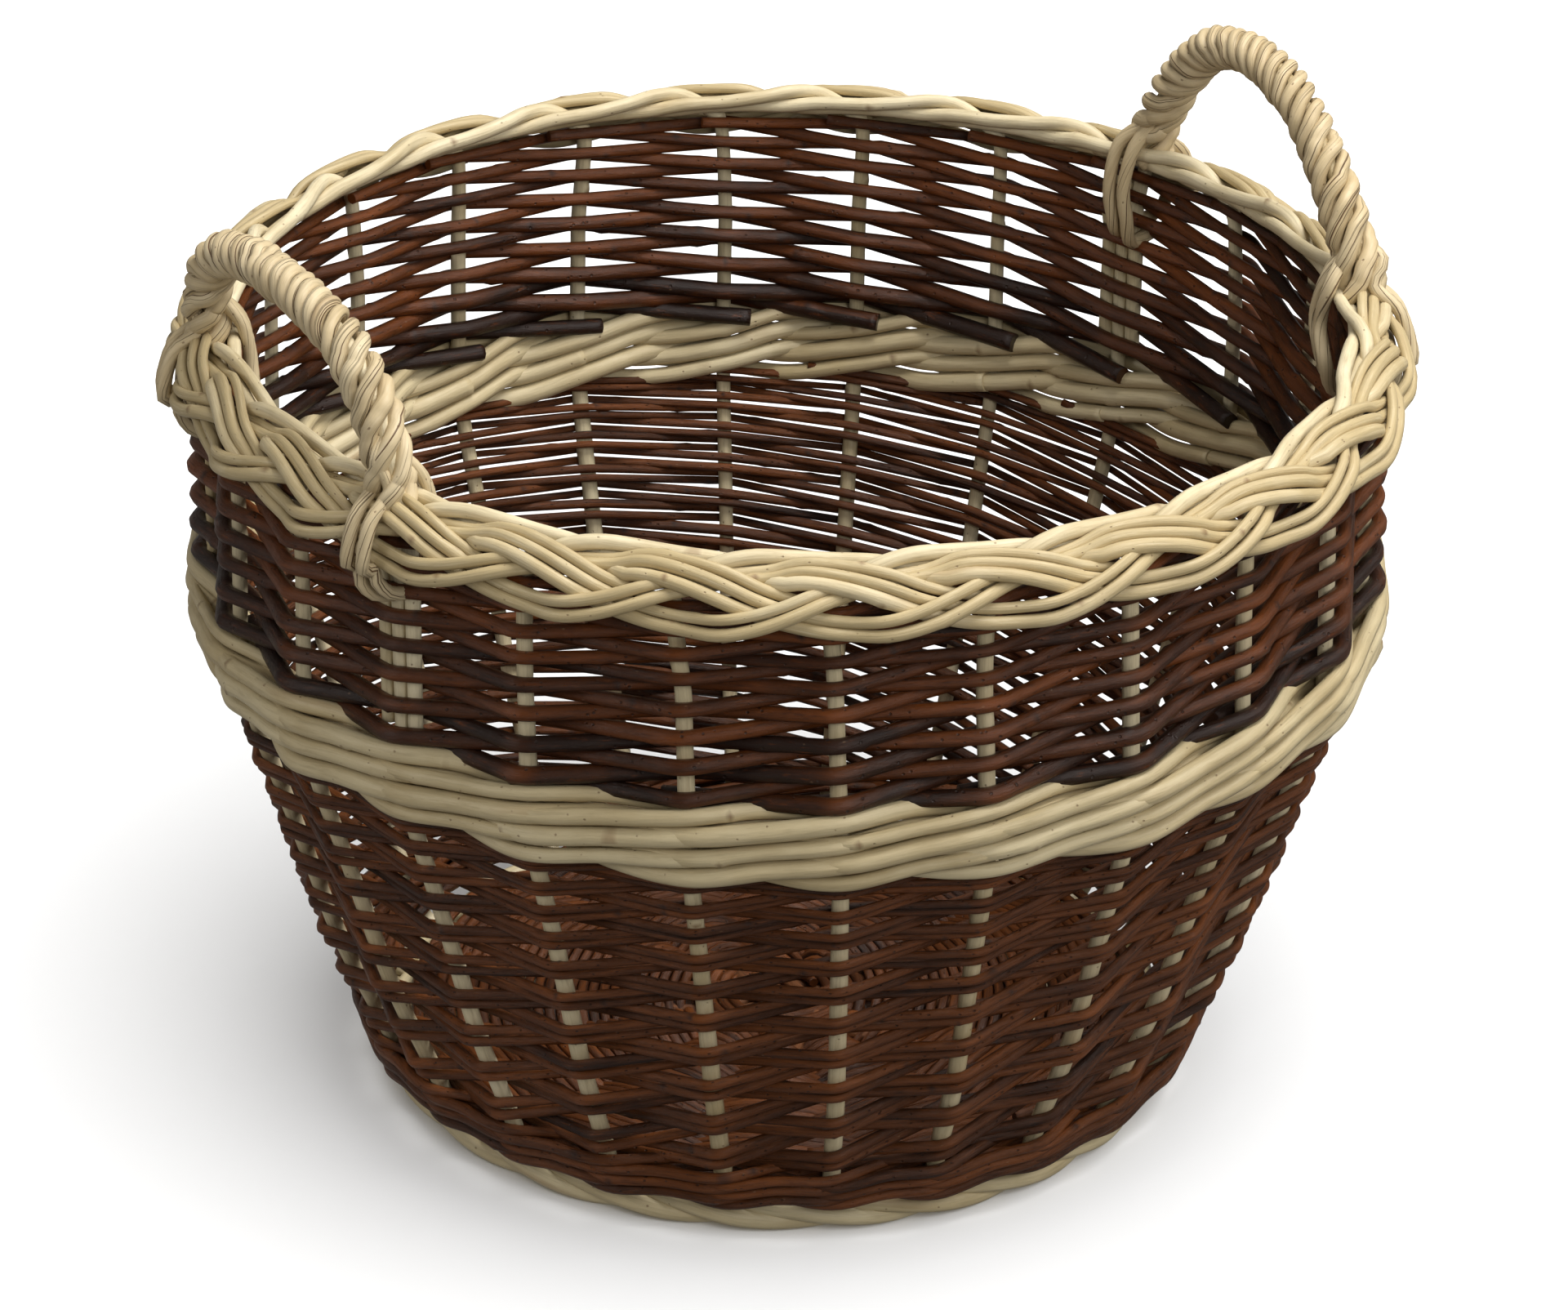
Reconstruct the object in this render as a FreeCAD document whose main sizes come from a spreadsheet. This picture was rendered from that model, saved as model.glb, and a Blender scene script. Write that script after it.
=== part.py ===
"""Round willow laundry basket with two roped handles.

The basket stands on its foot wale at Z = 0, centred on the Z axis, with a handle on each side
along X. Two dozen upright stakes stand in a ring. Every woven band has one layer of rods
outside the stakes and one layer inside them, and each layer is flat between two stakes, so a
band is a ring of flat panels with the stakes in the space between the layers.
"""
import FreeCAD, Part
import math
import os

import Sketcher

SIZES = {
    # rods
    "stake_count": 24,
    "stake_radius": 4.0,
    "play": 0.75,
    "weave_thickness": 7.0,
    "wale_thickness": 8.5,
    # heights of the bands' edges
    "foot_top": 9.0,
    "upsett_top": 30.0,
    "knee_height": 85.0,
    "wale_low": 216.0,
    "wale_high": 245.0,
    "siding_top": 318.0,
    "border_wide_low": 332.0,
    "border_wide_high": 348.0,
    "border_top": 357.0,
    # radius of the ring of stakes at those heights
    "line_foot": 168.0,
    "line_upsett": 181.0,
    "line_knee": 206.0,
    "line_wale_low": 248.4,
    "line_wale_high": 248.0,
    "line_top": 247.5,
    # foot and border, outside and inside
    "foot_inner": 164.5,
    "foot_outer_low": 176.0,
    "foot_outer_high": 179.2,
    "border_outer": 268.0,
    "border_outer_top": 257.0,
    "border_inner": 236.3,
    "border_inner_top": 239.0,
    # base
    "spoke_count": 12,
    "base_middle": 13.2,
    "base_weave_thickness": 4.6,
    "base_weave_inner": 38.0,
    "base_weave_outer": 161.0,
    "spoke_reach": 157.0,
    "stick_spacing": 8.5,
    "slath_half": 30.0,
    "split_half_length": 16.0,
    "split_half_height": 6.2,
    "split_half_width": 4.0,
    "stake_root": 110.0,
    "prick_up_bend": 12.0,
    "stake_top": 342.0,
    # handles
    "handle_foot_angle": 22.5,
    "bow_radius": 3.1,
    "bow_spacing": 3.7,
    "bow_foot": 250.0,
    "bow_turn": 346.0,
    "rope_radius": 10.0,
    "rope_bore": 8.4,
    "rope_foot": 361.5,
    "left_rise": 50.5,
    "left_lean": 7.0,
    "right_rise": 69.5,
    "right_lean": 2.0,
    # lashings: gaps to the border, then heights above and below its edges
    "lash_radius": 3.5,
    "lash_outer_gap": 1.5,
    "lash_inner_gap": 2.0,
    "lash_top": 9.0,
    "lash_shoulder": 1.0,
    "lash_outer_bend": 6.0,
    "lash_inner_bend": 8.0,
    "lash_outer_tail": 8.0,
    "lash_inner_tail": 10.0,
}

SHEET = "Sizes"

# The most of a straight run that one bend of a rod may use, leaving the rest to its neighbours.
BEND_SHARE = 0.45

# How far a cutting block reaches past the faces it cuts through, in mm.
CUT_MARGIN = 1.0


def make_sheet(doc):
    """Write every driving dimension into its own named cell."""
    sheet = doc.addObject("Spreadsheet::Sheet", SHEET)
    for row, (alias, value) in enumerate(SIZES.items(), 1):
        sheet.set(f"A{row}", alias)
        sheet.set(f"B{row}", str(value))
        sheet.setAlias(f"B{row}", alias)
    doc.recompute()
    return sheet


def cell(alias):
    """Return the name of a cell as an expression writes it."""
    return f"{SHEET}.{alias}"


# ---------------------------------------------------------------------------------------------
# Flat panels between the stakes


def panel_section(doc, height, inner, outer, count):
    """Sketch the plan of one panel at a height, with its corners on two stake lines."""
    sketch = doc.addObject("Sketcher::SketchObject", "panel_section")
    corners = [(1, -1), (2, -1), (2, 1), (1, 1)]
    points = [FreeCAD.Vector(x, y, 0) for x, y in corners]
    for here, there in zip(points, points[1:] + points[:1]):
        sketch.addGeometry(Part.LineSegment(here, there))
    for edge in range(4):
        sketch.addConstraint(Sketcher.Constraint("Coincident", edge, 2, (edge + 1) % 4, 1))
    sketch.addConstraint(Sketcher.Constraint("Symmetric", 0, 1, 3, 1, -1))
    sketch.addConstraint(Sketcher.Constraint("Symmetric", 1, 1, 2, 1, -1))
    half_bay = f"180 deg / {cell(count)}"
    for vertex, radius in ((3, inner), (2, outer)):
        for kind, turn in (("DistanceX", "cos"), ("DistanceY", "sin")):
            number = sketch.addConstraint(Sketcher.Constraint(kind, -1, 1, vertex, 1, 1.0))
            sketch.setExpression(f"Constraints[{number}]", f"({radius}) * {turn}({half_bay})")
    sketch.setExpression("Placement.Base.z", height)
    return sketch


def panel_ring(doc, low, high, count):
    """Make one ring of separate panels between two plans."""
    number = int(SIZES[count])
    panels = []
    for bay in range(number):
        panel = doc.addObject("Part::Loft", "panel")
        panel.Sections = [low, high]
        panel.Solid = True
        panel.Ruled = True
        turn = FreeCAD.Rotation(FreeCAD.Vector(0, 0, 1), 360.0 * bay / number)
        panel.Placement = FreeCAD.Placement(FreeCAD.Vector(), turn)
        panels.append(panel)
    return panels


def panels_through(doc, levels, count="stake_count"):
    """Make the rings of one layer, from (height, inner radius, outer radius) expressions."""
    plans = [panel_section(doc, *level, count) for level in levels]
    panels = []
    for low, high in zip(plans, plans[1:]):
        panels += panel_ring(doc, low, high, count)
    return panels


def outer_level(height, line, thickness="weave_thickness"):
    """Give the rods that pass outside the stakes at one height."""
    half_bay = f"180 deg / {cell('stake_count')}"
    inner = f"{cell(line)} + ({cell('stake_radius')} + {cell('play')}) / cos({half_bay})"
    return cell(height), inner, f"{inner} + {cell(thickness)}"


def inner_level(height, line, thickness="weave_thickness"):
    """Give the rods that pass inside the stakes at one height."""
    outer = f"{cell(line)} - {cell('stake_radius')} - {cell('play')}"
    return cell(height), f"{outer} - {cell(thickness)}", outer


def gather(doc, label, pieces):
    """Put the separate solids of one sub-part under one label."""
    group = doc.addObject("Part::Compound", label)
    group.Label = label
    group.Links = pieces
    return group


def woven_band(doc, label, edges, thickness="weave_thickness"):
    """Make a band of weaving, from the (height, stake line) names of its edges."""
    outside = [outer_level(height, line, thickness) for height, line in edges]
    inside = [inner_level(height, line, thickness) for height, line in edges]
    return gather(doc, label, panels_through(doc, outside) + panels_through(doc, inside))


def foot_wale(doc):
    """Make the thick round that the basket stands on."""
    levels = [
        ("0", cell("foot_inner"), cell("foot_outer_low")),
        (cell("foot_top"), cell("foot_inner"), cell("foot_outer_high")),
    ]
    return gather(doc, "foot_wale", panels_through(doc, levels))


def upsett_wale(doc):
    """Make the rounds that hold the stakes upright above the base."""
    outside = [outer_level("foot_top", "line_foot"), outer_level("upsett_top", "line_upsett")]
    base_top = f"{base_weave_levels()[-1]} + {cell('play')}"
    share = f"({base_top} - {cell('foot_top')}) / ({cell('upsett_top')} - {cell('foot_top')})"
    line = f"{cell('line_foot')} + ({cell('line_upsett')} - {cell('line_foot')}) * {share}"
    outer = f"{line} - {cell('stake_radius')} - {cell('play')}"
    lowest = (base_top, f"{outer} - {cell('weave_thickness')}", outer)
    inside = [lowest, inner_level("upsett_top", "line_upsett")]
    panels = panels_through(doc, outside) + panels_through(doc, inside)
    return gather(doc, "upsett_wale", panels)


def border(doc):
    """Make the two rails of the plaited border, which stand outside and inside the stakes."""
    rail_inner = outer_level("siding_top", "line_top")[1]
    siding_outer = outer_level("siding_top", "line_top")[2]
    outside = [
        (cell("siding_top"), rail_inner, siding_outer),
        (cell("border_wide_low"), rail_inner, cell("border_outer")),
        (cell("border_wide_high"), rail_inner, cell("border_outer")),
        (cell("border_top"), rail_inner, cell("border_outer_top")),
    ]
    rail_outer = inner_level("siding_top", "line_top")[2]
    inside = [
        (cell("siding_top"), cell("border_inner"), rail_outer),
        (cell("border_top"), cell("border_inner_top"), rail_outer),
    ]
    panels = panels_through(doc, outside) + panels_through(doc, inside)
    return gather(doc, "plaited_border", panels)


def base_weave_levels():
    """Give the four heights of the base weave: its lower layer, then its upper layer."""
    half = f"({cell('stake_radius')} + {cell('play')})"
    lower_top = f"{cell('base_middle')} - {half}"
    upper_low = f"{cell('base_middle')} + {half}"
    thickness = cell("base_weave_thickness")
    return [f"{lower_top} - {thickness}", lower_top, upper_low, f"{upper_low} + {thickness}"]


def base_weave(doc):
    """Make the weaving of the base, one layer below its sticks and one layer above them."""
    radii = (cell("base_weave_inner"), cell("base_weave_outer"))
    heights = base_weave_levels()
    lower = panels_through(doc, [(height, *radii) for height in heights[:2]], "spoke_count")
    upper = panels_through(doc, [(height, *radii) for height in heights[2:]], "spoke_count")
    return gather(doc, "base_weave", lower + upper)


# ---------------------------------------------------------------------------------------------
# Round rods


def rounded_path(points, bend=math.inf):
    """Join points by straight runs and tangent arcs no larger than the bend allows."""
    edges = []
    start = points[0]
    for before, corner, after in zip(points, points[1:], points[2:]):
        back = before - corner
        ahead = after - corner
        turn = math.pi - back.getAngle(ahead)
        reach = BEND_SHARE * min(back.Length, ahead.Length)
        reach = min(reach, bend * math.tan(turn / 2))
        arc_start = corner + back.normalize() * reach
        arc_end = corner + ahead.normalize() * reach
        bisector = (back + ahead).normalize()
        radius = reach / math.tan(turn / 2)
        middle = corner + bisector * (radius / math.cos(turn / 2) - radius)
        edges.append(Part.LineSegment(start, arc_start).toShape())
        edges.append(Part.Arc(arc_start, middle, arc_end).toShape())
        start = arc_end
    edges.append(Part.LineSegment(start, points[-1]).toShape())
    return Part.Wire(edges)


def rod(doc, name, points, radius, bend=math.inf):
    """Sweep a round section, whose radius is a cell, along a rounded path."""
    spine = doc.addObject("Part::Feature", f"{name}_path")
    spine.Shape = rounded_path(points, bend)
    section = doc.addObject("Part::Circle", f"{name}_section")
    section.setExpression("Radius", cell(radius))
    turn = FreeCAD.Rotation(FreeCAD.Vector(0, 0, 1), points[1] - points[0])
    section.Placement = FreeCAD.Placement(points[0], turn)
    sweep = doc.addObject("Part::Sweep", name)
    sweep.Label = name
    sweep.Sections = [section]
    sweep.Spine = (spine, [f"Edge{number + 1}" for number in range(len(spine.Shape.Edges))])
    sweep.Solid = True
    return sweep


def at(angle, radius, height):
    """Give the point at an angle in degrees from +X, a radius and a height."""
    turn = math.radians(angle)
    return FreeCAD.Vector(radius * math.cos(turn), radius * math.sin(turn), height)


def stakes(doc, size):
    """Make the upright stakes, pushed into the base beside its sticks and pricked up."""
    rise = (size.base_middle - size.foot_top) / (size.upsett_top - size.foot_top)
    line_base = size.line_foot + (size.line_upsett - size.line_foot) * rise
    outline = [
        (size.stake_root, size.base_middle),
        (line_base, size.base_middle),
        (size.line_upsett, size.upsett_top),
        (size.line_knee, size.knee_height),
        (size.line_wale_low, size.wale_low),
        (size.line_top, size.stake_top),
    ]
    count = int(size.stake_count)
    made = []
    for number in range(count):
        angle = (number + 0.5) * 360.0 / count
        points = [at(angle, radius, height) for radius, height in outline]
        made.append(rod(doc, f"stake_{number + 1:02d}", points, "stake_radius", size.prick_up_bend))
    return made


def stick_points(size, side, across):
    """Give the path of a base stick, bent so that its two ends fan out as spokes."""
    spread = 360.0 / size.spoke_count * side
    offset = size.stick_spacing * side
    points = [
        at(180 - spread, size.spoke_reach, size.base_middle),
        FreeCAD.Vector(-size.slath_half, offset, size.base_middle),
        FreeCAD.Vector(size.slath_half, offset, size.base_middle),
        at(spread, size.spoke_reach, size.base_middle),
    ]
    if side == 0:
        points = [points[0], points[-1]]
    turn = FreeCAD.Rotation(FreeCAD.Vector(0, 0, 1), across)
    return [turn.multVec(point) for point in points]


def through_sticks(doc, size):
    """Make the three base sticks that pass through the split ones."""
    made = []
    for number, side in enumerate((-1, 0, 1), 1):
        points = stick_points(size, side, 0)
        made.append(rod(doc, f"through_stick_{number}", points, "stake_radius", size.slath_half))
    return made


def split_block(doc, name, half_length, half_height, half_width, centre):
    """Make a box centred on a point, with its half sizes given as expressions."""
    block = doc.addObject("Part::Box", name)
    halves = {"Length": half_width, "Width": half_length, "Height": half_height}
    for side, half in halves.items():
        block.setExpression(side, f"2 * ({half})")
    for axis, (place, half) in zip("xyz", zip(centre, halves.values())):
        block.setExpression(f"Placement.Base.{axis}", f"{place} - ({half})")
    return block


def split_sticks(doc, size):
    """Make the three base sticks that are split at the middle to let the others through."""
    made = []
    for number, side in enumerate((-1, 0, 1), 1):
        name = f"split_stick_{number}"
        stick = rod(doc, f"{name}_rod", stick_points(size, side, 90), "stake_radius",
                    size.slath_half)
        centre = (f"{-side} * {cell('stick_spacing')}", "0", cell("base_middle"))
        cheeks = split_block(doc, f"{name}_cheeks", cell("split_half_length"),
                             cell("split_half_height"), cell("split_half_width"), centre)
        whole = doc.addObject("Part::Fuse", f"{name}_whole")
        whole.Base = stick
        whole.Tool = cheeks
        slot_half = f"1.5 * {cell('stick_spacing')}"
        slot_height = f"{cell('stake_radius')} + {cell('play')}"
        slot = split_block(doc, f"{name}_slot", slot_half, slot_height,
                           f"{cell('split_half_width')} + {CUT_MARGIN}", centre)
        split = doc.addObject("Part::Cut", name)
        split.Label = name
        split.Base = whole
        split.Tool = slot
        made.append(split)
    return made


# ---------------------------------------------------------------------------------------------
# Handles


# Half of each arch: the shares of its half width across and of its rise up at each point.
ARCHES = {
    "left": [(1.0, 0.0), (0.98, 0.3), (0.78, 0.76), (0.38, 1.0)],
    "right": [(1.0, 0.0), (0.9, 0.24), (0.64, 0.62), (0.3, 0.98)],
}


def arch(size, side, shift):
    """Give the points over one handle's arch, shifted out from its centre line."""
    foot = at(size.handle_foot_angle, size.line_top, 0)
    half = foot.y + shift
    rise = getattr(size, f"{side}_rise") + shift
    lean = getattr(size, f"{side}_lean")
    outline = ARCHES[side] + [(-across, up) for across, up in reversed(ARCHES[side])]
    return [
        FreeCAD.Vector(foot.x + lean * up, half * across, size.rope_foot + rise * up)
        for across, up in outline
    ]


def bow_points(size, side, outward):
    """Give the path of a bow rod: up beside one stake, over the arch, down beside another."""
    angle = size.handle_foot_angle
    step = 360.0 / size.stake_count * outward
    stake = at(angle, size.line_top, 0)
    along = (at(angle + step, size.line_top, 0) - stake).normalize()
    beside = stake + along * (size.stake_radius + size.bow_radius + size.play)
    low = FreeCAD.Vector(beside.x, beside.y, size.bow_foot)
    high = FreeCAD.Vector(beside.x, beside.y, size.bow_turn)
    rising = [low, high]
    falling = [FreeCAD.Vector(point.x, -point.y, point.z) for point in reversed(rising)]
    return rising + arch(size, side, outward * size.bow_spacing) + falling


def handle_turn(side):
    """Give the turn about Z that takes the +X side to a handle's own side."""
    return FreeCAD.Rotation(FreeCAD.Vector(0, 0, 1), 0 if side == "right" else 180)


def handle_bow(doc, size, side):
    """Make the pair of rods at the core of a handle."""
    turn = handle_turn(side)
    rods = []
    for outward in (-1, 1):
        points = [turn.multVec(point) for point in bow_points(size, side, outward)]
        rods.append(rod(doc, f"{side}_bow_rod", points, "bow_radius"))
    return gather(doc, f"{side}_handle_bow", rods)


def handle_rope(doc, size, side):
    """Make the roping that is twisted round the bow rods, as a tube with its true outside."""
    turn = handle_turn(side)
    points = [turn.multVec(point) for point in arch(size, side, 0)]
    name = f"{side}_handle_rope"
    rope = doc.addObject("Part::Cut", name)
    rope.Label = name
    rope.Base = rod(doc, f"{name}_outside", points, "rope_radius")
    rope.Tool = rod(doc, f"{name}_bore", points, "rope_bore")
    return rope


def lashing(doc, size, side, end):
    """Make the strands that tie one foot of a handle down over the border."""
    top = size.border_top + size.lash_top
    outer_clear = size.lash_radius + size.lash_outer_gap
    beside_rope = size.line_top + size.rope_radius + outer_clear
    outside = [
        (beside_rope, top),
        (size.border_outer + outer_clear, size.border_top + size.lash_shoulder),
        (size.border_outer + outer_clear, size.border_wide_low - size.lash_outer_bend),
        (beside_rope, size.siding_top - size.lash_outer_tail),
    ]
    inner = size.border_inner - size.lash_radius - size.lash_inner_gap
    inside = [
        (inner, top),
        (inner - size.lash_shoulder, size.border_wide_high - size.lash_inner_bend),
        (inner, size.siding_top - size.lash_inner_tail),
    ]
    side_angle = 0 if side == "right" else 180
    front = -1 if end == "front" else 1
    way = front if side == "right" else -front
    angle = side_angle + way * size.handle_foot_angle
    strands = []
    for outline in (outside, inside):
        points = [at(angle, radius, height) for radius, height in outline]
        strands.append(rod(doc, f"{side}_{end}_strand", points, "lash_radius"))
    return gather(doc, f"{side}_handle_lashing_{end}", strands)


# ---------------------------------------------------------------------------------------------


def build(doc):
    """Make every sub-part and return them in the order of weaving."""
    size = make_sheet(doc)
    lower = [("upsett_top", "line_upsett"), ("knee_height", "line_knee"),
             ("wale_low", "line_wale_low")]
    middle = [("wale_low", "line_wale_low"), ("wale_high", "line_wale_high")]
    upper = [("wale_high", "line_wale_high"), ("siding_top", "line_top")]
    made = through_sticks(doc, size) + split_sticks(doc, size)
    made += [base_weave(doc)]
    made += stakes(doc, size)
    made += [
        foot_wale(doc),
        upsett_wale(doc),
        woven_band(doc, "lower_siding", lower),
        woven_band(doc, "middle_wale", middle, "wale_thickness"),
        woven_band(doc, "upper_siding", upper),
        border(doc),
    ]
    for side in ("left", "right"):
        made += [handle_bow(doc, size, side), handle_rope(doc, size, side)]
        made += [lashing(doc, size, side, end) for end in ("front", "back")]
    return made


def check(doc):
    """Stop if any object of the document failed to build."""
    for item in doc.Objects:
        bad = [state for state in item.State if state in ("Invalid", "Error")]
        if bad:
            raise RuntimeError(f"{item.Label} is {bad}")


def export(made):
    """Write each sub-part to its own file, after testing its shape."""
    os.makedirs("parts", exist_ok=True)
    for item in made:
        shape = item.Shape
        if shape.isNull() or not shape.isValid() or not shape.Solids:
            raise RuntimeError(f"{item.Label} has no valid solid")
        shape.exportStep(f"parts/{item.Label}.step")
        print(f"{item.Label}: {len(shape.Solids)} solids, {shape.Volume / 1000:.1f} cm3")


def main():
    """Build the basket and write its parts."""
    doc = FreeCAD.newDocument("laundry_basket")
    made = build(doc)
    doc.recompute()
    check(doc)
    export(made)


main()
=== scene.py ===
"""Looks of a round willow laundry basket: every rod of its weaving, its plait and its handles.

Rods are tubes swept along paths that follow the stakes. A place round the basket is given as a
number of stakes, counted anticlockwise from above, and a place on the wall also by its height
and by how far it lies outside the ring of stakes. All sizes are in metres.
"""

import math

import bpy
import numpy as np
from mathutils import Matrix, Vector


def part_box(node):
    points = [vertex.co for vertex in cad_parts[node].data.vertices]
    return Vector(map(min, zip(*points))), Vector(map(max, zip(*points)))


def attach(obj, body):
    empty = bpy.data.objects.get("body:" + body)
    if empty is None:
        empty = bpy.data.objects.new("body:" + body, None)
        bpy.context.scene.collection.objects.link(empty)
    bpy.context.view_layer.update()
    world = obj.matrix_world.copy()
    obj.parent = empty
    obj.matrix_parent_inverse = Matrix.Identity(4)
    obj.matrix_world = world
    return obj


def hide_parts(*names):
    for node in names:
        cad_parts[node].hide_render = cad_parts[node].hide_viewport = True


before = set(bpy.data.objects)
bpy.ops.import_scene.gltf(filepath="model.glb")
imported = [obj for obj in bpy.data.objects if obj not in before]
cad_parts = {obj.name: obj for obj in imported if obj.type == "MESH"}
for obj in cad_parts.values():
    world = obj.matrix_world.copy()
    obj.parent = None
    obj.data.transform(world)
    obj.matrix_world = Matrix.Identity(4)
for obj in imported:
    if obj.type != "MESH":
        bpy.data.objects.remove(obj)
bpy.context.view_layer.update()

MM = 0.001
STAKES = sum(name.startswith("stake_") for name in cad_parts)
BAY = 2 * math.pi / STAKES
STAKE_RADIUS = 3.9 * MM
RING_STEP = 3.6 * MM
WALL_EASE = 20 * MM
FULL_TURN = 2 * math.pi
rng = np.random.default_rng(41)


def round_point(radius, angle, height):
    """Return points by their distance from the middle, their angle and their height."""
    return np.stack([radius * np.cos(angle), radius * np.sin(angle), height], -1)


# ---------------------------------------------------------------------------------------------
# The wall, read from the frame


def node_points(name):
    """Return the corners of a CAD node's mesh as an array."""
    return np.array([vertex.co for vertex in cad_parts[name].data.vertices])


def read_wall():
    """Return the heights where the wall bends and the radius of the ring of stakes there."""
    line = {}
    for name in ("upsett_wale", "lower_siding", "middle_wale", "upper_siding"):
        points = node_points(name)
        radii = np.hypot(points[:, 0], points[:, 1])
        for height in np.unique(points[:, 2].round(4)):
            ring = radii[np.abs(points[:, 2] - height) < 0.1 * MM]
            if np.ptp(ring) > 3 * STAKE_RADIUS:
                line[float(height)] = float(ring.max() + ring.min()) / 2
    heights = sorted(line)
    return np.array(heights), np.array([line[height] for height in heights])


WALL_HEIGHTS, WALL_RADII = read_wall()
TOP_RADIUS = float(WALL_RADII[-1])
FOOT_SLOPE = (WALL_RADII[1] - WALL_RADII[0]) / (WALL_HEIGHTS[1] - WALL_HEIGHTS[0])


def wall_radius(height):
    """Return the radius of the ring of stakes at a height, with its bends eased."""
    around = np.asarray(height)[..., None] + np.linspace(-WALL_EASE, WALL_EASE, 9)
    radius = np.interp(around, WALL_HEIGHTS, WALL_RADII)
    radius += np.minimum(around - WALL_HEIGHTS[0], 0) * FOOT_SLOPE
    return radius.mean(-1)


# Hand work: each stake stands a little off its place, in radians round the basket and in metres
# out at mid height and at the top. On one side the top of the wall leans round, in radians.
STAKE_SHIFT = rng.normal(0, 0.007, STAKES)
STAKE_BULGE = rng.normal(0, 0.9 * MM, (STAKES, 2))
LEAN_SIDE = math.radians(-95)
LEAN_MOST = 0.065


def lean(place):
    """Return how far round the top of the wall leans at a place counted in stakes."""
    side = (np.asarray(place) + 0.5) * BAY - LEAN_SIDE
    return LEAN_MOST * (0.5 + 0.5 * np.cos(side)) ** 2


def place_of(point):
    """Return the place round the top of the wall, in stakes, where a point is."""
    angle = math.atan2(point[1], point[0])
    return (angle + float(lean(angle / BAY - 0.5))) / BAY - 0.5


def stake_angle(number, height):
    """Return where stakes stand round the basket at a height."""
    leaned = lean(number) * np.minimum(height / WALL_HEIGHTS[-1], 1)
    return (number + 0.5) * BAY + STAKE_SHIFT[number % STAKES] - leaned


def stake_point(number, height, outward=0.0):
    """Return points on stakes, moved square to the wall from their centre lines."""
    number, height = np.broadcast_arrays(number, np.asarray(height, float))
    rise = height / WALL_HEIGHTS[-1]
    sway = STAKE_BULGE[number % STAKES]
    slope = (wall_radius(height + MM) - wall_radius(height - MM)) / (2 * MM)
    square = np.hypot(1, slope)
    radius = wall_radius(height) + sway[..., 0] * np.sin(math.pi * rise) + sway[..., 1] * rise
    radius = radius + outward / square
    level = height - outward * slope / square
    return round_point(radius, stake_angle(number, height), level)


# ---------------------------------------------------------------------------------------------
# Paths


def rings_between(start, end):
    """Return how many rings of a rod fit between two points."""
    return max(2, round(np.linalg.norm(end - start) / RING_STEP))


def smooth_path(points):
    """Pass an even curve through points."""
    points = np.asarray(points, float)
    ends = [2 * points[0] - points[1], 2 * points[-1] - points[-2]]
    whole = np.vstack([ends[0], points, ends[1]])
    spans = []
    for before, start, end, after in zip(whole, whole[1:], whole[2:], whole[3:]):
        count = rings_between(start, end)
        t = (np.arange(count) / count)[:, None]
        curve = 2 * start + (end - before) * t
        curve += (2 * before - 5 * start + 4 * end - after) * t**2
        curve += (3 * start - before - 3 * end + after) * t**3
        spans.append(curve / 2)
    spans.append(points[-1:])
    return np.vstack(spans)


def bent_path(points, bend):
    """Run straight between points, with a bend at each one that starts bend before it."""
    points = np.asarray(points, float)
    runs = np.diff(points, axis=0)
    lengths = np.linalg.norm(runs, axis=1)
    ways = runs / lengths[:, None]
    reach = np.minimum(bend, 0.4 * np.minimum(lengths[:-1], lengths[1:]))[:, None]
    starts = points[1:-1] - ways[:-1] * reach
    ends = points[1:-1] + ways[1:] * reach
    parts = [points[:1]]
    last = points[0]
    for start, corner, end in zip(starts, points[1:-1], ends):
        count = rings_between(last, start)
        t = (np.arange(1, count) / count)[:, None]
        parts.append(last + (start - last) * t)
        t = np.linspace(0, 1, 6)[:, None]
        parts.append((1 - t) ** 2 * start + 2 * t * (1 - t) * corner + t**2 * end)
        last = end
    count = rings_between(last, points[-1])
    t = (np.arange(1, count + 1) / count)[:, None]
    parts.append(last + (points[-1] - last) * t)
    return np.vstack(parts)


def wander(count, size, length):
    """Return a gentle random curve, one value for each of count rings.

    size is its usual height and length is how far along the rod it keeps its way.
    """
    knots = max(4, round(count * RING_STEP / length) + 2)
    values = rng.normal(0, size, knots)
    places = np.linspace(0, knots - 1, count)
    return np.interp(places, np.arange(knots), values)


# ---------------------------------------------------------------------------------------------
# Rods


def lengths_along(path):
    """Return how far along a path each of its points is."""
    return np.r_[0, np.cumsum(np.linalg.norm(np.diff(path, axis=0), axis=1))]


def ring_frames(path):
    """Return two cross directions at each point of a path, turning as little as possible."""
    ways = np.gradient(path, axis=0)
    ways /= np.linalg.norm(ways, axis=1)[:, None]
    side = np.cross(ways[0], (0.3, 0.2, 1.0))
    sides = np.empty_like(path)
    for number, way in enumerate(ways):
        side = side - way * side.dot(way)
        side /= np.linalg.norm(side)
        sides[number] = side
    return sides, np.cross(ways, sides)


def any_angle():
    """Return a random angle."""
    return rng.uniform(0, 6.3)


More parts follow.
